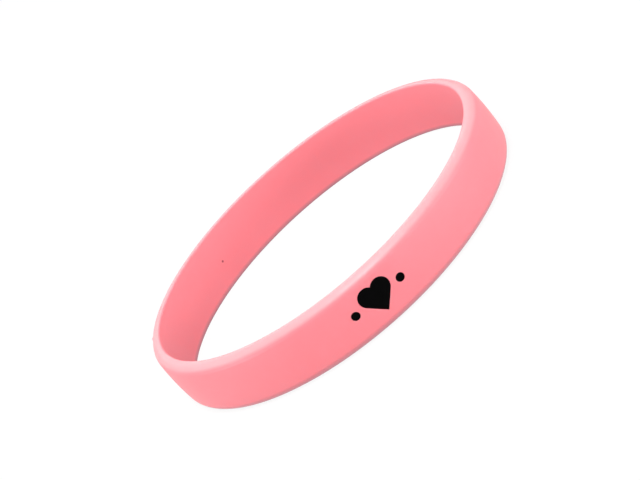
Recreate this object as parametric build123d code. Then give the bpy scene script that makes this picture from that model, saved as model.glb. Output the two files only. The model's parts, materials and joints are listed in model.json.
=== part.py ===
from build123d import *
import math
import os

# A moulded silicone wristband: one closed ring with an inlaid ink motif on its front.
# The ring lies on its lower rim, Z is its axis and the motif faces -Y.
# The origin is the centre of the circle that the lower rim rests on. All sizes are in mm.

# Band sizes
INSIDE_DIAMETER = 64.3  # across the wrist opening, which is the usual 202 mm round
WALL = 2.3  # thickness of the silicone at the middle of the band
WIDTH = 10.1  # from rim to rim, the ring's height as it lies
CROWN = 0.3  # how much further out the middle of the outer face stands than its edges
OUTER_EDGE_RADIUS = 1.6  # the soft outer corners of both rims
INNER_EDGE_RADIUS = 0.3  # the crisper corners next to the wrist
LEAST_RIM_FLAT = 0.1  # what stays flat on a rim between its two corners, however round they are

# Motif sizes, measured along and across the band
MOTIF_AZIMUTH = -90.0  # degrees round the axis from +X to the middle of the motif
MOTIF_RISE = 0.2  # the motif's centre line above the middle of the width
HEART_WIDTH = 5.8
HEART_HEIGHT = 5.4
LOBE_OVERLAP = 0.4  # how far the circle of each lobe reaches past the heart's middle line
DOT_DIAMETER = 1.5
DOT_CLEARANCE = 0.85  # bare silicone between the heart's side and a dot

# Inlay sizes
RECESS_DEPTH = 0.45  # moulded depth of each recess below the outer face
INK_SINK = 0.05  # the cured ink ends this far below the outer face
INK_GAP = 0.03  # clearance between the ink and the walls and floor of its recess

# Sizes that follow from those above
INNER_RADIUS = INSIDE_DIAMETER / 2
OUTER_RADIUS = INNER_RADIUS + WALL
MIDDLE = WIDTH / 2
CROWN_RADIUS = (MIDDLE**2 + CROWN**2) / (2 * CROWN)
CROWN_CENTRE = OUTER_RADIUS - CROWN_RADIUS
LOBE_RADIUS = (HEART_WIDTH / 2 + LOBE_OVERLAP) / 2
DOT_SPACING = (HEART_WIDTH + DOT_DIAMETER) / 2 + DOT_CLEARANCE
OVERREACH = WALL / 2  # how far a cutting tool runs out past the band


def crown_arc(depth, low, high):
    """The outer face's arc, moved inwards by depth, between two heights from the middle."""
    reach = CROWN_RADIUS - depth
    points = [(CROWN_CENTRE + math.sqrt(reach**2 - h**2), MIDDLE + h) for h in (low, 0, high)]
    return ThreePointArc(*points)


def band_section():
    """Section of the band's wall: flat inside, crowned outside, all four corners rounded."""
    face = crown_arc(0, -MIDDLE, MIDDLE)
    foot, top = (INNER_RADIUS, 0), (INNER_RADIUS, WIDTH)
    section = make_face(Wire([Line(foot, face @ 0), face, Line(face @ 1, top), Line(top, foot)]))
    rim = (face @ 0).X - INNER_RADIUS
    outer_limit = min(rim - INNER_EDGE_RADIUS - LEAST_RIM_FLAT, MIDDLE - LEAST_RIM_FLAT)
    section = fillet(section.vertices().sort_by(Axis.X)[-2:], min(OUTER_EDGE_RADIUS, outer_limit))
    return fillet(section.vertices().group_by(Axis.X)[0], INNER_EDGE_RADIUS)


def skin(outside, inside):
    """Outer skin of the band all the way round, between two depths below its crowned face."""
    outer_arc, inner_arc = crown_arc(outside, -MIDDLE, MIDDLE), crown_arc(inside, MIDDLE, -MIDDLE)
    sides = [Line(outer_arc @ 1, inner_arc @ 0), Line(inner_arc @ 1, outer_arc @ 0)]
    return revolve(Plane.XZ * make_face(Wire([outer_arc, inner_arc, *sides])), Axis.Z, 360)


def heart(inset):
    """Heart of two lobes and two straight sides, all moved inwards by inset.

    A side runs from the tip to where it touches its lobe, and the middle is at half the height.
    """
    lobe_x, lobe_y = HEART_WIDTH / 2 - LOBE_RADIUS, HEART_HEIGHT / 2 - LOBE_RADIUS
    drop = HEART_HEIGHT - LOBE_RADIUS
    lean = math.atan2(lobe_x, drop) + math.asin(LOBE_RADIUS / math.hypot(lobe_x, drop))
    radius = LOBE_RADIUS - inset
    notch = (0, lobe_y + math.sqrt(radius**2 - lobe_x**2))
    tip = (0, inset / math.sin(lean) - HEART_HEIGHT / 2)
    halfway = (math.atan2(notch[1] - lobe_y, -lobe_x) - lean) / 2
    edges = []
    for hand in (1, -1):
        crest, touch = (
            (hand * (lobe_x + radius * math.cos(angle)), lobe_y + radius * math.sin(angle))
            for angle in (halfway, -lean)
        )
        edges += [ThreePointArc(notch, crest, touch), Line(touch, tip)]
    return make_face(Wire(edges))


def dot(inset):
    """Round dot, its radius smaller by inset."""
    return Circle(DOT_DIAMETER / 2 - inset)


# Motif table: node name, outline, place along the outer face to the right of the middle
MOTIF = [
    ("ink_dot_left", dot, -DOT_SPACING),
    ("ink_heart", heart, 0.0),
    ("ink_dot_right", dot, DOT_SPACING),
]


def prism(outline, inset, along):
    """The outline carried straight out through the wall, at its place along the outer face."""
    azimuth = math.radians(MOTIF_AZIMUTH) + along / OUTER_RADIUS
    out = Vector(math.cos(azimuth), math.sin(azimuth), 0)
    origin = out * INNER_RADIUS + Vector(0, 0, MIDDLE + MOTIF_RISE)
    place = Plane(origin=origin, x_dir=Vector(-out.Y, out.X, 0), z_dir=out)
    return extrude(place * outline(inset), WALL + OVERREACH)


def silicone_band():
    """The moulded ring, with one recess for each row of the motif table."""
    ring = revolve(Plane.XZ * band_section(), Axis.Z, 360)
    cutter = skin(-OVERREACH, RECESS_DEPTH)
    for _, outline, along in MOTIF:
        ring -= prism(outline, 0.0, along) & cutter
    return ring


def ink_inlays():
    """One inlay of cured ink for each row of the motif table, just clear of its recess."""
    fill = skin(INK_SINK, RECESS_DEPTH - INK_GAP)
    return {name: prism(outline, INK_GAP, along) & fill for name, outline, along in MOTIF}


def main():
    os.makedirs("parts", exist_ok=True)
    nodes = {"silicone_band": silicone_band(), **ink_inlays()}
    for name, shape in nodes.items():
        export_step(shape, f"parts/{name}.step")


main()
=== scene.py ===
"""Looks of a moulded silicone wristband: the ring, its inlaid ink motif and the studio round them.

Lengths are in metres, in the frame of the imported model: the band lies on its lower rim at z = 0,
Z is its axis and the motif faces -Y.
"""
import json
import logging
import math
from abc import ABC, abstractmethod
from dataclasses import dataclass, field
from enum import Enum

import bpy
import numpy as np
from mathutils import Euler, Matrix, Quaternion, Vector


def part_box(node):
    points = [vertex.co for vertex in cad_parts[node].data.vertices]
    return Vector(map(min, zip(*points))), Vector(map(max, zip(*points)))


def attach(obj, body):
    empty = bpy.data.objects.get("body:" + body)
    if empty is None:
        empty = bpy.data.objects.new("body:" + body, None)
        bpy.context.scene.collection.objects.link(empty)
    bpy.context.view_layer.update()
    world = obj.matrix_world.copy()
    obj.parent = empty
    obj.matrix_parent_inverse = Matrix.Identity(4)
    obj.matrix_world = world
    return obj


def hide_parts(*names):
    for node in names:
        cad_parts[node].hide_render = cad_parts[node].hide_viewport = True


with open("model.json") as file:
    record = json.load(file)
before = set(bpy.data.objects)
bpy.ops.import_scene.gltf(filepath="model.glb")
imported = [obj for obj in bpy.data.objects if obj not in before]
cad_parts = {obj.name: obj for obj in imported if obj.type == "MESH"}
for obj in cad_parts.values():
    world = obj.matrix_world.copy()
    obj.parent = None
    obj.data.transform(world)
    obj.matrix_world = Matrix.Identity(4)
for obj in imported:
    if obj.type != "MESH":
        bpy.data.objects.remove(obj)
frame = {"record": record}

MM = 0.001
BODY = "root"

UP = np.array([0.0, 0.0, 1.0])

Colour = tuple[float, float, float]
Point = tuple[float, float, float]

WHITE: Colour = (1.0, 1.0, 1.0)


class Operation(Enum):
    """Steps of arithmetic that a Math node does."""

    ADD = "ADD"
    SUBTRACT = "SUBTRACT"
    MULTIPLY = "MULTIPLY"
    POWER = "POWER"


@dataclass(frozen=True)
class Mottle:
    """Soft noise: its number of blotches to the metre, and of the finer octaves in them."""

    scale: float
    octaves: float


class Socket:
    """A shader node's output. Arithmetic on it adds Math nodes to its shader."""

    def __init__(self, shader: "Shader", output: bpy.types.NodeSocket) -> None:
        """Wraps an output of a node in a shader.

        Args:
            shader: The shader whose tree the node is in.
            output: The node's output.
        """
        self.shader = shader
        self.output = output

    def __add__(self, other: "Socket | float") -> "Socket":
        """Self plus other."""
        return self.shader.maths(Operation.ADD, self, other)

    def __radd__(self, other: float) -> "Socket":
        """Other plus self."""
        return self.shader.maths(Operation.ADD, other, self)

    def __sub__(self, other: "Socket | float") -> "Socket":
        """Self less other."""
        return self.shader.maths(Operation.SUBTRACT, self, other)

    def __rsub__(self, other: float) -> "Socket":
        """Other less self."""
        return self.shader.maths(Operation.SUBTRACT, other, self)

    def __mul__(self, other: "Socket | float") -> "Socket":
        """Self times other."""
        return self.shader.maths(Operation.MULTIPLY, self, other)

    def __rmul__(self, other: float) -> "Socket":
        """Other times self."""
        return self.shader.maths(Operation.MULTIPLY, other, self)

    def __pow__(self, other: "Socket | float") -> "Socket":
        """Self to the power of other."""
        return self.shader.maths(Operation.POWER, self, other)

    def __rpow__(self, other: float) -> "Socket":
        """Other to the power of self."""
        return self.shader.maths(Operation.POWER, other, self)


class Shader:
    """A material under construction, whose nodes this class adds and joins."""

    def __init__(self, name: str) -> None:
        """Starts an empty material.

        Args:
            name: The material's name.
        """
        self.material = bpy.data.materials.new(name)
        self.material.use_nodes = True
        self.tree = self.material.node_tree
        self.tree.nodes.clear()

    def node(self, kind: str, settings: dict, inputs: dict, output: int | str = 0) -> Socket:
        """Adds any node.

        Args:
            kind: The node's type.
            settings: Its settings, set first.
            inputs: Its sockets by name or number, each a value or the Socket that feeds it.
            output: Name or number of the output wanted.

        Returns:
            That output.
        """
        made = self.tree.nodes.new(kind)
        for key, value in settings.items():
            setattr(made, key, value)
        for key, value in inputs.items():
            if isinstance(value, Socket):
                self.tree.links.new(value.output, made.inputs[key])
            else:
                made.inputs[key].default_value = value
        return Socket(self, made.outputs[output])

    def maths(self, operation: Operation, first: Socket | float, second: Socket | float) -> Socket:
        """Adds a Math node.

        Args:
            operation: What it does.
            first: Its first value.
            second: Its second value.

        Returns:
            Its result.
        """
        return self.node("ShaderNodeMath", {"operation": operation.value}, {0: first, 1: second})

    def place(self) -> Socket:
        """The surface point in object coordinates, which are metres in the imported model's frame."""
        return self.node("ShaderNodeTexCoord", {}, {}, "Object")

    def height(self) -> Socket:
        """Height of the surface point."""
        return self.node("ShaderNodeSeparateXYZ", {}, {0: self.place()}, "Z")

    def from_axis(self) -> Socket:
        """Distance of the surface point from the band's axis.

        Returns:
            The length of the point's place with its height taken out.
        """
        flattened = {0: self.place(), 1: (1, 1, 0)}
        level = self.node("ShaderNodeVectorMath", {"operation": "MULTIPLY"}, flattened)
        return self.node("ShaderNodeVectorMath", {"operation": "LENGTH"}, {0: level}, "Value")

    def ramp(
        self, value: Socket, start: float, end: Socket | float, first: float, last: float
    ) -> Socket:
        """A value carried over evenly from one range to another, and held at the range's ends.

        Args:
            value: The value.
            start: Where the range starts.
            end: Where it ends.
            first: The result at its start.
            last: The result at its end.

        Returns:
            The result.
        """
        ends = {"From Min": start, "From Max": end, "To Min": first, "To Max": last}
        return self.node("ShaderNodeMapRange", {"clamp": True}, {"Value": value, **ends})

    def cloud(self, mottle: Mottle) -> Socket:
        """Soft noise over the surface, between 0 and 1."""
        inputs = {"Vector": self.place(), "Scale": mottle.scale, "Detail": mottle.octaves}
        return self.node("ShaderNodeTexNoise", {}, inputs, "Fac")

    def swing(self, noise: Socket, whole: float) -> Socket:
        """A noise between 0 and 1 as a swing about 0, whole wide from end to end."""
        return (noise - 0.5) * whole

    def relief(self, height: Socket, most: float) -> Socket:
        """Normal of a surface with a fine relief.

        Args:
            height: The relief's height, from 0 to 1.
            most: How high 1 is, in metres.

        Returns:
            The normal.
        """
        inputs = {"Strength": 1.0, "Distance": most, "Height": height}
        return self.node("ShaderNodeBump", {}, inputs)

    def near(self, centre: Point, reach: float) -> Socket:
        """How near the surface is to a point.

        Args:
            centre: The point, in metres.
            reach: Distance at which the result falls to 0.

        Returns:
            1 at the point, falling evenly to 0 at reach and staying there.
        """
        distance = self.node(
            "ShaderNodeVectorMath", {"operation": "DISTANCE"}, {0: self.place(), 1: centre}, "Value"
        )
        return self.ramp(distance, 0.0, reach, 1.0, 0.0)

    def blend(
        self, factor: Socket | float, first: Socket | Colour, second: Socket | Colour
    ) -> Socket:
        """Mixes two colours.

        Args:
            factor: Share of the second colour.
            first: The first colour.
            second: The second colour.

        Returns:
            The mixed colour.
        """
        sides = [c if isinstance(c, Socket) else (*c, 1.0) for c in (first, second)]
        settings = {"data_type": "RGBA", "clamp_factor": True}
        return self.node("ShaderNodeMix", settings, {0: factor, 6: sides[0], 7: sides[1]}, 2)

    def finish(self, inputs: dict) -> bpy.types.Material:
        """Gives the material its surface.

        Args:
            inputs: The surface shader's sockets by name, each a value or the Socket that feeds it.

        Returns:
            The finished material.
        """
        surface = self.node("ShaderNodeBsdfPrincipled", {}, inputs)
        shown = self.tree.nodes.new("ShaderNodeOutputMaterial")
        self.tree.links.new(surface.output, shown.inputs["Surface"])
        return self.material


def make_mesh(name: str, vertices: np.ndarray, faces: list[np.ndarray]) -> bpy.types.Object:
    """Puts a surface into a smooth-shaded object at the origin.

    Args:
        name: The object's name.
        vertices: A row of x, y and z for each vertex.
        faces: Arrays of vertex numbers, one row a face and one array for each number of corners.

    Returns:
        The linked object. Vertices that no face uses are left out.
    """
    used = np.unique(np.concatenate([block.ravel() for block in faces]))
    number = np.zeros(len(vertices), np.int64)
    number[used] = np.arange(len(used))
    mesh = bpy.data.meshes.new(name)
    corners = [row for block in faces for row in number[block].tolist()]
    mesh.from_pydata(vertices[used].tolist(), [], corners)
    mesh.shade_smooth()
    mesh.validate()
    made = bpy.data.objects.new(name, mesh)
    bpy.context.scene.collection.objects.link(made)
    return made


def loop_quads(rings: np.ndarray) -> np.ndarray:
    """Quads between each closed ring of vertices and the next.

    Args:
        rings: Vertex numbers, one row a ring.

    Returns:
        Four vertex numbers a row. They face the viewer who sees the rings run anticlockwise with
        the next ring inside the last.
    """
    ahead = np.roll(rings, -1, axis=1)
    corners = [rings[:-1], ahead[:-1], ahead[1:], rings[1:]]
    return np.stack(corners, axis=-1).reshape(-1, 4)


def arc(
    centre: tuple[float, float], radius: float, start: float, end: float, steps: int
) -> np.ndarray:
    """Points of a circular arc with both its ends.

    A point is the centre plus the radius times the cosine and the sine of its angle.

    Args:
        centre: The circle's centre, as radius and height in the band's section.
        radius: The circle's radius.
        start: Angle of the first point, from the outward direction, in radians.
        end: Angle of the last point.
        steps: Number of steps between them.

    Returns:
        A row of radius and height for each point.
    """
    angle = np.linspace(start, end, steps + 1)
    outward, upward = radius * np.cos(angle), radius * np.sin(angle)
    return np.stack([centre[0] + outward, centre[1] + upward], axis=1)


def between(first: np.ndarray, last: np.ndarray, steps: int) -> np.ndarray:
    """Points of a straight run without its ends.

    Args:
        first: Its start.
        last: Its end.
        steps: Number of steps along it.

    Returns:
        A row for each point between the ends.
    """
    share = np.linspace(0.0, 1.0, steps + 1)[1:-1, None]
    return first + (last - first) * share


def stages(first: float, last: float, count: int) -> np.ndarray:
    """Evenly spaced values, one row each, from one step past the first to the last."""
    return np.linspace(first, last, count + 1)[1:, None]


@dataclass(frozen=True)
class BandForm:
    """Sizes of the band's wall: flat inside, crowned outside, with rounded corners."""

    inner_radius: float
    outer_radius: float
    width: float
    crown: float = 0.3 * MM
    outer_edge: float = 1.6 * MM
    inner_edge: float = 0.3 * MM

    @classmethod
    def from_frame(cls) -> "BandForm":
        """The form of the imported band, from its node's box and its bore mount.

        Returns:
            The form.
        """
        low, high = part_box("silicone_band")
        bore = next(m for m in frame["record"]["mounts"] if m["name"] == "wrist_bore")
        return cls(bore["dims"]["r_mm"] * MM, high.x, high.z - low.z)

    @property
    def middle(self) -> float:
        """Height of the middle of the width."""
        return self.width / 2

    @property
    def crown_radius(self) -> float:
        """Radius of the outer face's arc.

        It is half the width squared plus the crown squared, over twice the crown.
        """
        return (self.middle**2 + self.crown**2) / (2 * self.crown)

    def face_radius(self, rise: np.ndarray, depth: np.ndarray | float = 0.0) -> np.ndarray:
        """Distance of the crowned face from the band's axis.

        It is the arc's centre plus a root: that of the arc's radius less the depth, squared, less
        the rise squared.

        Args:
            rise: Height above the middle of the width.
            depth: How far below the face, square to it.

        Returns:
            The distance for each rise.
        """
        centre = self.outer_radius - self.crown_radius
        return centre + np.sqrt((self.crown_radius - depth) ** 2 - np.square(rise))


class Outline(ABC):
    """Closed outline of one element of the motif, seen from in front of it."""

    @abstractmethod
    def reach(self, bearing: np.ndarray, offset: np.ndarray | float) -> np.ndarray:
        """Distance from the element's middle to its outline.

        Args:
            bearing: Directions from the middle, anticlockwise from the right, in radians.
            offset: How far the outline is moved outwards.

        Returns:
            The distance along each bearing.
        """


@dataclass(frozen=True)
class Dot(Outline):
    """A round dot."""

    diameter: float = 1.5 * MM

    def reach(self, bearing: np.ndarray, offset: np.ndarray | float) -> np.ndarray:
        """The radius plus the offset, along each bearing."""
        return self.diameter / 2 + offset + 0 * bearing


@dataclass(frozen=True)
class Heart(Outline):
    """A heart of two round lobes and two straight sides, with its middle at half its height."""

    width: float = 5.8 * MM
    height: float = 5.4 * MM
    lobe_overlap: float = 0.4 * MM

    def reach(self, bearing: np.ndarray, offset: np.ndarray | float) -> np.ndarray:
        """Distance to a lobe's circle or to the side that touches it, whichever the bearing meets.

        Both halves are one shape, so a bearing counts by how far right or left it points. On a lobe
        the distance is the far crossing of the bearing with the circle. On a side it is the side's
        distance from the middle over how squarely the bearing meets it.

        Args:
            bearing: Directions from the middle, anticlockwise from the right, in radians.
            offset: How far the outline is moved outwards.

        Returns:
            The distance along each bearing.
        """
        right, up = np.abs(np.cos(bearing)), np.sin(bearing)
        radius = (self.width / 2 + self.lobe_overlap) / 2
        lobe_x, lobe_y = self.width / 2 - radius, self.height / 2 - radius
        drop = self.height - radius
        lean = math.atan2(lobe_x, drop) + math.asin(radius / math.hypot(lobe_x, drop))
        radius = radius + offset
        along = lobe_x * right + lobe_y * up
        past = np.sqrt(np.maximum(along**2 - lobe_x**2 - lobe_y**2 + radius**2, 0.0))
        square = math.cos(lean) * right - math.sin(lean) * up
        side = math.cos(lean) * lobe_x - math.sin(lean) * lobe_y + radius
        touch = np.arctan2(lobe_y - radius * math.sin(lean), lobe_x + radius * math.cos(lean))
        on_lobe = np.arctan2(up, right) > touch
        return np.where(on_lobe, along + past, side / np.where(on_lobe, 1.0, square))


@dataclass(frozen=True)
class Inlay:
    """One inlaid element of the motif: its outline, its place and the cells that it takes."""

    node: str
    outline: Outline
    along: float
    cells_along: int
    half_cells: tuple[int, int]

    def place(
        self,
        form: BandForm,
        motif: "Motif",
        across: np.ndarray,
        up: np.ndarray,
        depth: np.ndarray | float,
    ) -> np.ndarray:
        """Points on or below the crowned face, straight behind points of the element's own plane.

        How far a point stands ahead of the axis is the root of the face's distance squared less
        the distance across squared.

        Args:
            form: The band's sizes.
            motif: The motif's sizes.
            across: Distance to the right of the element's middle.
            up: Distance above it.
            depth: Depth below the crowned face.

        Returns:
            The points' coordinates, along a last axis of three.
        """
        out, right = self.directions(form, motif)
        rise = motif.rise + up
        ahead = np.sqrt(form.face_radius(rise, depth) ** 2 - across**2)
        level = np.broadcast_to(form.middle + rise, ahead.shape)
        return ahead[..., None] * out + across[..., None] * right + level[..., None] * UP

    def directions(self, form: BandForm, motif: "Motif") -> tuple[np.ndarray, np.ndarray]:
        """Directions at the element's middle.

        Args:
            form: The band's sizes.
            motif: The motif's sizes.

        Returns:
            Unit vectors out of the band and to the right.
        """
        azimuth = motif.azimuth + self.along / form.outer_radius
        out = np.array([math.cos(azimuth), math.sin(azimuth), 0.0])
        return out, np.array([-out[1], out[0], 0.0])


@dataclass(frozen=True)
class Motif:
    """The inlaid motif: a heart between two dots, with the sizes that the three recesses share."""

    azimuth: float = -math.pi / 2
    rise: float = 0.2 * MM
    recess: float = 0.45 * MM
    lip: float = 0.08 * MM
    floor_round: float = 0.06 * MM
    ink_sink: float = 0.05 * MM
    ink_gap: float = 0.03 * MM
    ink_edge: float = 0.05 * MM
    ink_dish: float = 0.02 * MM
    dot_spacing: float = 4.5 * MM
    dot_cells_along: int = 28
    dot_half_cells: tuple[int, int] = (7, 7)
    heart_half_cells: tuple[int, int] = (21, 20)

    def inlays(self) -> list[Inlay]:
        """The motif's elements.

        Returns:
            The left dot, the heart and the right dot.
        """
        spacing, along, half = self.dot_spacing, self.dot_cells_along, self.dot_half_cells
        return [
            Inlay("ink_dot_left", Dot(), -spacing, -along, half),
            Inlay("ink_heart", Heart(), 0.0, 0, self.heart_half_cells),
            Inlay("ink_dot_right", Dot(), spacing, along, half),
        ]


@dataclass(frozen=True)
class SiliconeFinish:
    """Matte pink moulded silicone, a little translucent, with a fine satin grain.

    The face that the mould's core left is duller than the outer one. A painted highlight pales the
    upper rim and fades out over the corner next to it. A painted contact shadow greys the edge that
    stands on the table, and reaches further up on the outside, where the corner is rounder. The
    highlight's heights are above the middle of the width, and the shadow's above the table.
    """

    pink: Colour = (0.86, 0.223, 0.258)
    deep_pink: Colour = (0.85, 0.21, 0.244)
    # Colour of the painted highlight on the upper rim, standing in for light from above.
    highlight_pink: Colour = (0.9, 0.297, 0.32)
    # Colour of the painted contact shadow along the edge that stands on the table.
    contact_shadow_pink: Colour = (0.4, 0.205, 0.24)
    rim_highlight_start: float = 4.1 * MM
    rim_highlight_full: float = 4.55 * MM
    contact_shadow_full: float = 0.1 * MM
    contact_shadow_top: float = 0.9 * MM
    outer_contact_shadow_top: float = 1.4 * MM
    speck_colour: Colour = (0.13, 0.012, 0.02)
    speck_radius: float = 0.25 * MM
    speck_falloff: float = 0.5
    roughness: float = 0.45
    inner_roughness: float = 0.88
    roughness_swing: float = 0.06
    refraction: float = 1.41
    translucence: float = 0.35
    light_spread: Colour = (1.0, 0.35, 0.3)
    light_depth: float = 1.0 * MM
    grain_height: float = 0.004 * MM
    pigment_mottle: Mottle = Mottle(140.0, 2.0)
    satin_mottle: Mottle = Mottle(420.0, 3.0)
    fine_grain: Mottle = Mottle(5200.0, 2.0)
    coarse_grain: Mottle = Mottle(1900.0, 1.0)
    coarse_share: float = 0.6

    def material(self, form: BandForm, speck: Point) -> bpy.types.Material:
        """Makes the material.

        Args:
            form: The band's sizes.
            speck: Middle of the dark speck on the inner face.

        Returns:
            The material.
        """
        shader = Shader("pink_silicone")
        pigment = shader.blend(shader.cloud(self.pigment_mottle), self.pink, self.deep_pink)
        height = shader.height()
        inner_corner = (form.inner_radius, form.inner_radius + form.inner_edge)
        outside = shader.ramp(shader.from_axis(), *inner_corner, 0.0, 1.0)
        # Painted highlight: the upper rim and the corner next to it are paler, as if lit from above.
        rim_highlight = shader.ramp(height - form.middle, self.rim_highlight_start, self.rim_highlight_full, 0.0, 1.0)
        highlighted = shader.blend(outside * rim_highlight, pigment, self.highlight_pink)
        # Painted contact shadow: the edge on the table is greyer, and higher up on the outside under
        # the rounder corner.
        contact_shadow_top = self.contact_shadow_top + outside * (self.outer_contact_shadow_top - self.contact_shadow_top)
        contact_shadow = shader.ramp(height, self.contact_shadow_full, contact_shadow_top, 1.0, 0.0)
        shadowed = shader.blend(contact_shadow, highlighted, self.contact_shadow_pink)
        speck_share = shader.near(speck, self.speck_radius) ** self.speck_falloff
        colour = shader.blend(speck_share, shadowed, self.speck_colour)
        dullness = self.inner_roughness + outside * (self.roughness - self.inner_roughness)
        satin = shader.swing(shader.cloud(self.satin_mottle), self.roughness_swing)
        grain = shader.cloud(self.fine_grain) + self.coarse_share * shader.cloud(self.coarse_grain)
        return shader.finish(
            {
                "Base Color": colour,
                "Roughness": dullness + satin,
                "IOR": self.refraction,
                "Subsurface Weight": self.translucence,
                "Subsurface Radius": self.light_spread,
                "Subsurface Scale": self.light_depth,
                "Normal": shader.relief(grain, self.grain_height),
            }
        )


@dataclass(frozen=True)
class InkFinish:
    """Dense black cured ink, nearly without gloss."""

    black: Colour = (0.001, 0.001, 0.001)
    worn_black: Colour = (0.002, 0.0018, 0.002)
    gloss: float = 0.02
    roughness: float = 0.7
    roughness_swing: float = 0.1
    skin_height: float = 0.003 * MM
    wear_mottle: Mottle = Mottle(900.0, 2.0)
    skin_mottle: Mottle = Mottle(3000.0, 2.0)

    def material(self) -> bpy.types.Material:
        """Makes the material.

        Returns:
            The material.
        """
        shader = Shader("black_ink")
        colour = shader.blend(shader.cloud(self.wear_mottle), self.black, self.worn_black)
        skin = shader.cloud(self.skin_mottle)
        return shader.finish(
            {
                "Base Color": colour,
                "Roughness": self.roughness + shader.swing(skin, self.roughness_swing),
                "Specular IOR Level": self.gloss,
                "Normal": shader.relief(skin, self.skin_height),
            }
        )


@dataclass(frozen=True)
class TableFinish:
    """Light table: a dull diffuser lit evenly from below, on which hardly a shadow shows."""

    diffuser: Colour = (0.06, 0.06, 0.06)
    glow: float = 0.915
    gloss: float = 0.0
    roughness: float = 1.0

    def material(self) -> bpy.types.Material:
        """Makes the material.

        Returns:
            The material.
        """
        return Shader("light_table").finish(
            {
                "Base Color": (*self.diffuser, 1.0),
                "Roughness": self.roughness,
                "Specular IOR Level": self.gloss,
                "Emission Color": (*WHITE, 1.0),
                "Emission Strength": self.glow,
            }
        )


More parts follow.
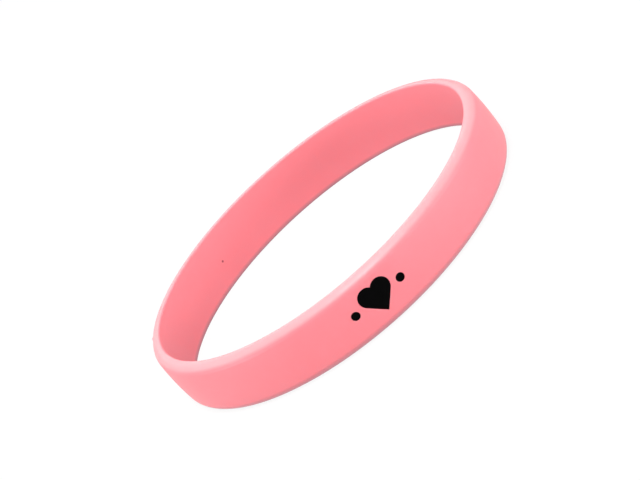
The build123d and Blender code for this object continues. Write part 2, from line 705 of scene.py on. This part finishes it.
@dataclass
class SiliconeBand:
    """The moulded ring with its recesses, as one closed surface.

    The cells cover the front of the crowned face, and the steps and rings below say how finely
    the rest of the section and each recess are divided.
    """

    form: BandForm
    motif: Motif
    finish: SiliconeFinish = field(default_factory=SiliconeFinish)
    cell: float = 0.16 * MM
    front_cells: int = 40
    rest_cells: int = 400
    steps_below: int = 3
    steps_above: int = 2
    outer_corner_steps: int = 14
    inner_corner_steps: int = 6
    rim_steps: int = 3
    bore_steps: int = 16
    apron_rings: int = 6
    lip_rings: int = 6
    floor_corner_rings: int = 5
    floor_rings: int = 6
    speck_azimuth: float = math.radians(120.68)
    speck_rise: float = -0.45 * MM
    nib_azimuth: float = math.radians(167.13)
    nib_height: float = 9.48 * MM
    nib_stand: float = 0.15 * MM
    nib_spread: float = 0.35 * MM

    def build(self) -> bpy.types.Object:
        """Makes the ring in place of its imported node.

        Returns:
            The ring.
        """
        section, first_line = self.section()
        azimuth = self.azimuths()
        grid = self.turned(section, azimuth)
        rows, columns = grid.shape[:2]
        number = np.arange(rows * columns).reshape(rows, columns)
        closed = np.concatenate([number, number[:1]])
        quads = loop_quads(closed).reshape(rows, columns, 4)
        kept = np.ones((rows, columns), bool)
        vertices, faces = [grid.reshape(-1, 3)], []
        for inlay in self.motif.inlays():
            window = self.window(inlay, first_line)
            kept[window[0].start : window[0].stop - 1, window[1].start : window[1].stop - 1] = False
            start = sum(len(block) for block in vertices)
            points, blocks = self.recess(inlay, grid, number, window, start)
            vertices.append(points)
            faces += blocks
        made = make_mesh("silicone_ring", np.concatenate(vertices), [quads[kept], *faces])
        made.data.materials.append(self.finish.material(self.form, self.speck()))
        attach(made, BODY)
        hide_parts("silicone_band")
        return made

    def speck(self) -> Point:
        """Middle of the speck on the inner face.

        Returns:
            The point.
        """
        radius, azimuth = self.form.inner_radius, self.speck_azimuth
        height = self.form.middle + self.speck_rise
        return (radius * math.cos(azimuth), radius * math.sin(azimuth), height)

    def section(self) -> tuple[np.ndarray, int]:
        """Closed outline of the wall's section, anticlockwise with the outside on the right.

        It runs up the crowned face, over the upper outer corner, in along the rim, over the inner
        corner, down the flat inner face and back under the lower rim.

        Returns:
            A row of radius and height for each point, and the number of the point at the lowest
            line of cells on the crowned face.
        """
        form = self.form
        corner_rise = form.middle - form.outer_edge
        crown_centre = form.outer_radius - form.crown_radius
        edge_run = math.sqrt((form.crown_radius - form.outer_edge) ** 2 - corner_rise**2)
        turn = math.atan2(corner_rise, edge_run)
        face_end = form.crown_radius * math.sin(turn)
        half = self.half_lines()
        lines = self.motif.rise + self.cell * np.arange(-half, half + 1)
        below = np.linspace(-face_end, lines[0], self.steps_below + 1)[:-1]
        above = np.linspace(lines[-1], face_end, self.steps_above + 1)[1:]
        rise = np.concatenate([below, lines, above])
        face = np.stack([form.face_radius(rise), form.middle + rise], axis=1)
        up, inward, down, outward = math.pi / 2, math.pi, 3 * math.pi / 2, math.tau
        outer, inner = form.outer_edge, form.inner_edge
        outer_steps, inner_steps = self.outer_corner_steps, self.inner_corner_steps
        outer_x, inner_x = crown_centre + edge_run, form.inner_radius + inner
        upper = arc((outer_x, form.width - outer), outer, turn, up, outer_steps)
        lower = arc((outer_x, outer), outer, down, outward - turn, outer_steps)
        inner_upper = arc((inner_x, form.width - inner), inner, up, inward, inner_steps)
        inner_lower = arc((inner_x, inner), inner, inward, down, inner_steps)
        runs = [
            face,
            upper[1:],
            between(upper[-1], inner_upper[0], self.rim_steps),
            inner_upper,
            between(inner_upper[-1], inner_lower[0], self.bore_steps),
            inner_lower,
            between(inner_lower[-1], lower[0], self.rim_steps),
            lower[:-1],
        ]
        return np.concatenate(runs), len(below)

    def half_lines(self) -> int:
        """Number of grid lines on each side of the motif's middle line, for its tallest element."""
        return max(inlay.half_cells[1] for inlay in self.motif.inlays())

    def azimuths(self) -> np.ndarray:
        """Angles of the grid's columns: fine cells across the motif, even steps round the rest.

        Returns:
            The angles in radians, once round from the motif's left side.
        """
        step = self.cell / self.form.outer_radius
        front = self.motif.azimuth + step * np.arange(-self.front_cells, self.front_cells + 1)
        rest = np.linspace(front[-1], front[0] + math.tau, self.rest_cells + 1)[1:-1]
        return np.concatenate([front, rest])

    def turned(self, section: np.ndarray, azimuth: np.ndarray) -> np.ndarray:
        """The section carried round the axis, with the moulding nib left on its upper outer corner.

        A point is its radius times the cosine and the sine of its azimuth, and its height. The nib
        pushes points out and up by its stand times a bell curve of their distance from it.

        Args:
            section: Radius and height of each point of the section.
            azimuth: Angle of each column.

        Returns:
            Coordinates by row and column.
        """
        radius, height = section[:, :1], section[:, 1:]
        level = height + 0 * azimuth
        grid = np.stack([radius * np.cos(azimuth), radius * np.sin(azimuth), level], -1)
        outer_half = height[: len(section) // 2, 0]
        nearest = section[np.argmin(np.abs(outer_half - self.nib_height))]
        nib_out = np.array([math.cos(self.nib_azimuth), math.sin(self.nib_azimuth), 0.0])
        nib = nearest[0] * nib_out + nearest[1] * UP
        away = np.linalg.norm(grid - nib, axis=-1, keepdims=True)
        push = (nib_out + UP) / math.sqrt(2)
        return grid + self.nib_stand * np.exp(-((away / self.nib_spread) ** 2)) * push

    def window(self, inlay: Inlay, first_line: int) -> tuple[slice, slice]:
        """Block of cells that an element takes from the grid.

        Args:
            inlay: The element.
            first_line: Number of the section's point at the lowest line of cells.

        Returns:
            The rows and the columns of the grid's vertices in the block.
        """
        wide, tall = inlay.half_cells
        row, column = first_line + self.half_lines(), self.front_cells + inlay.cells_along
        return slice(row - tall, row + tall + 1), slice(column - wide, column + wide + 1)

    def recess(
        self,
        inlay: Inlay,
        grid: np.ndarray,
        number: np.ndarray,
        window: tuple[slice, slice],
        start: int,
    ) -> tuple[np.ndarray, list[np.ndarray]]:
        """Rings of faces from the border of an element's block of cells down into its recess.

        Each ring is a distance along the bearings of the border's vertices. The rings close in on
        the outline along the face, roll over the lip as a quarter circle, go down the wall, round
        into the floor and shrink to its middle.

        Args:
            inlay: The element.
            grid: Coordinates of the ring's grid.
            number: Vertex numbers of the grid.
            window: Rows and columns of the block.
            start: Number of the first vertex that this adds.

        Returns:
            The added vertices, and the arrays of faces.
        """
        motif = self.motif
        border, edge = (
            np.concatenate([block[0, :-1], block[:-1, -1], block[-1, :0:-1], block[:0:-1, 0]])
            for block in (number[window], grid[window])
        )
        right = inlay.directions(self.form, motif)[1]
        across, up = edge @ right, edge[:, 2] - self.form.middle - motif.rise
        bearing, far = np.arctan2(up, across), np.hypot(across, up)
        lip_edge = inlay.outline.reach(bearing, motif.lip)
        closing = stages(0.0, 1.0, self.apron_rings)
        roll = np.radians(stages(0.0, 90.0, self.lip_rings))
        bend = np.radians(np.linspace(0.0, 90.0, self.floor_corner_rings))[:, None]
        shrink = stages(1.0, 0.0, self.floor_rings + 1)[:-1]
        floor_edge = inlay.outline.reach(bearing, -motif.floor_round)
        distance = [
            far + (lip_edge - far) * closing,
            inlay.outline.reach(bearing, motif.lip * (1 - np.sin(roll))),
            inlay.outline.reach(bearing, -motif.floor_round * (1 - np.cos(bend))),
            floor_edge * shrink,
        ]
        depth = [
            0 * closing,
            motif.lip * (1 - np.cos(roll)),
            motif.recess - motif.floor_round * (1 - np.sin(bend)),
            motif.recess + 0 * shrink,
        ]
        distance, depth = np.concatenate(distance), np.concatenate(depth)
        across, up = distance * np.cos(bearing), distance * np.sin(bearing)
        rings = inlay.place(self.form, motif, across, up, depth)
        centre = inlay.place(self.form, motif, np.zeros(1), np.zeros(1), motif.recess)
        added = start + np.arange(distance.size).reshape(distance.shape)
        loops = np.concatenate([border[None], added])
        middle = np.full(len(border), start + distance.size)
        fan = np.stack([added[-1], np.roll(added[-1], -1), middle], 1)
        return np.concatenate([rings.reshape(-1, 3), centre]), [loop_quads(loops), fan]


@dataclass
class InkFill:
    """The cured ink in one recess, as a closed solid just clear of the recess all round."""

    form: BandForm
    motif: Motif
    inlay: Inlay
    material: bpy.types.Material
    bearings: int = 192
    base_rings: int = 7
    wall_rings: int = 4
    edge_rings: int = 5
    top_rings: int = 10

    def build(self) -> bpy.types.Object:
        """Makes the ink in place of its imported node.

        Its rings grow from the middle of the underside, climb the wall, roll over the edge as a
        quarter circle and shrink to the middle of the top, which is dished like a meniscus: the
        depth grows by the dish times one less the square of the distance's share of the reach.

        Returns:
            The ink.
        """
        motif, outline = self.motif, self.inlay.outline
        bearing = np.linspace(0.0, math.tau, self.bearings, endpoint=False)
        bottom, brim = motif.recess - motif.ink_gap, motif.ink_sink + motif.ink_edge
        grow = stages(0.0, 1.0, self.base_rings)
        climb = stages(bottom, brim, self.wall_rings)
        roll = np.radians(stages(0.0, 90.0, self.edge_rings))
        shrink = stages(1.0, 0.0, self.top_rings + 1)[:-1]
        wall, top = outline.reach(bearing, -motif.ink_gap), -motif.ink_gap - motif.ink_edge
        distance = [
            wall * grow,
            wall + 0 * climb,
            outline.reach(bearing, -motif.ink_gap - motif.ink_edge * (1 - np.cos(roll))),
            outline.reach(bearing, top) * shrink,
        ]
        depth = [
            bottom + 0 * grow,
            climb,
            motif.ink_sink + motif.ink_edge * (1 - np.sin(roll)),
            motif.ink_sink + motif.ink_dish * (1 - shrink**2),
        ]
        distance, depth = np.concatenate(distance), np.concatenate(depth)
        across, up = distance * np.cos(bearing), distance * np.sin(bearing)
        rings = self.inlay.place(self.form, motif, across, up, depth)
        pole_depth = np.array([bottom, motif.ink_sink + motif.ink_dish])
        poles = self.inlay.place(self.form, motif, np.zeros(2), np.zeros(2), pole_depth)
        number = np.arange(distance.size).reshape(distance.shape)
        low_pole, high_pole = (np.full(self.bearings, number.size + pole) for pole in (0, 1))
        under = np.stack([np.roll(number[0], -1), number[0], low_pole], 1)
        over = np.stack([number[-1], np.roll(number[-1], -1), high_pole], 1)
        vertices = np.concatenate([rings.reshape(-1, 3), poles])
        name = self.inlay.node.replace("ink", "black")
        made = make_mesh(name, vertices, [loop_quads(number), under, over])
        made.data.materials.append(self.material)
        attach(made, BODY)
        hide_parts(self.inlay.node)
        return made


@dataclass(frozen=True)
class Softbox:
    """One soft studio lamp: a glowing rectangle that faces the band.

    Its azimuth and elevation are in degrees, and its brightness is in watts a square metre and
    steradian, so that its power is pi times its area times its brightness.
    """

    name: str
    azimuth: float
    elevation: float
    size: tuple[float, float]
    brightness: float
    distance: float = 1.0

    def build(self, aim: Vector) -> None:
        """Makes the lamp.

        Args:
            aim: The point that it faces.
        """
        light = bpy.data.lights.new(self.name, "AREA")
        light.shape = "RECTANGLE"
        light.size, light.size_y = self.size
        light.energy = math.pi * self.size[0] * self.size[1] * self.brightness
        azimuth, elevation = math.radians(self.azimuth), math.radians(self.elevation)
        level, rise = math.cos(elevation), math.sin(elevation)
        towards = Vector((level * math.cos(azimuth), level * math.sin(azimuth), rise))
        lamp = bpy.data.objects.new(self.name, light)
        lamp.location = aim + self.distance * towards
        lamp.rotation_mode = "QUATERNION"
        lamp.rotation_quaternion = towards.to_track_quat("Z", "Y")
        bpy.context.scene.collection.objects.link(lamp)


@dataclass
class Studio:
    """The light table, the lamps and the pale surroundings."""

    table_half: float = 3.0
    surroundings: float = 0.12
    lamps: tuple[Softbox, ...] = (
        Softbox("overhead", 90.0, 86.0, (0.5, 0.5), 5.0),
        Softbox("back", 90.0, 32.0, (0.9, 0.35), 2.9),
        Softbox("high_front", 270.0, 65.0, (0.4, 0.35), 24.3),
        Softbox("high_left", 160.0, 40.0, (0.35, 0.35), 7.1),
        Softbox("right", 340.0, 13.0, (0.3, 0.22), 5.5),
        Softbox("low_left", 180.0, 4.0, (0.3, 0.13), 13.0),
        Softbox("low_front_left", 195.0, 4.0, (0.3, 0.13), 13.1),
        Softbox("low_front_right", 315.0, 4.0, (0.3, 0.13), 16.8),
        Softbox("low_right", 340.0, 4.0, (0.3, 0.13), 15.8),
    )

    def build(self) -> None:
        """Makes the table, the lamps and the surroundings."""
        corners = np.array([(-1, -1, 0), (1, -1, 0), (1, 1, 0), (-1, 1, 0)]) * self.table_half
        table = make_mesh("table", corners, [np.array([[0, 1, 2, 3]])])
        table.data.materials.append(TableFinish().material())
        for lamp in self.lamps:
            lamp.build(Vector((0.0, 0.0, 0.0)))
        world = bpy.data.worlds.new("pale_surroundings")
        world.use_nodes = True
        background = world.node_tree.nodes["Background"]
        background.inputs["Color"].default_value = (*WHITE, 1.0)
        background.inputs["Strength"].default_value = self.surroundings
        bpy.context.scene.world = world
        bpy.context.scene.view_settings.view_transform = "Standard"


@dataclass(frozen=True)
class PhotoCamera:
    """The camera as it stood for the photograph, rolled so that the band runs up to the right."""

    place: Point = (-0.83 * MM, -317.44 * MM, 124.03 * MM)
    dip: float = math.radians(20.463)
    roll: float = math.radians(41.719)
    lens: float = 114.46
    sensor: float = 36.0
    nearest: float = 0.01
    farthest: float = 20.0

    def build(self) -> None:
        """Makes the camera and makes it the scene's own."""
        data = bpy.data.cameras.new("photo_camera")
        data.lens = self.lens
        data.sensor_width = self.sensor
        data.clip_start, data.clip_end = self.nearest, self.farthest
        camera = bpy.data.objects.new("photo_camera", data)
        camera.location = self.place
        level = Euler((math.pi / 2 - self.dip, 0.0, 0.0)).to_quaternion()
        camera.rotation_mode = "QUATERNION"
        camera.rotation_quaternion = level @ Quaternion((0.0, 0.0, 1.0), -self.roll)
        bpy.context.scene.collection.objects.link(camera)
        bpy.context.scene.camera = camera


def main() -> None:
    """Builds the band, its ink, the studio and the camera."""
    logging.basicConfig(level=logging.INFO, format="%(message)s")
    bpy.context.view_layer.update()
    PhotoCamera().build()
    form, motif = BandForm.from_frame(), Motif()
    pieces = [SiliconeBand(form, motif).build()]
    ink = InkFinish().material()
    pieces += [InkFill(form, motif, inlay, ink).build() for inlay in motif.inlays()]
    for piece in pieces:
        vertices, faces = len(piece.data.vertices), len(piece.data.polygons)
        logging.info("%s: %d vertices, %d faces", piece.name, vertices, faces)
    Studio().build()


if __name__ == "__main__":
    main()
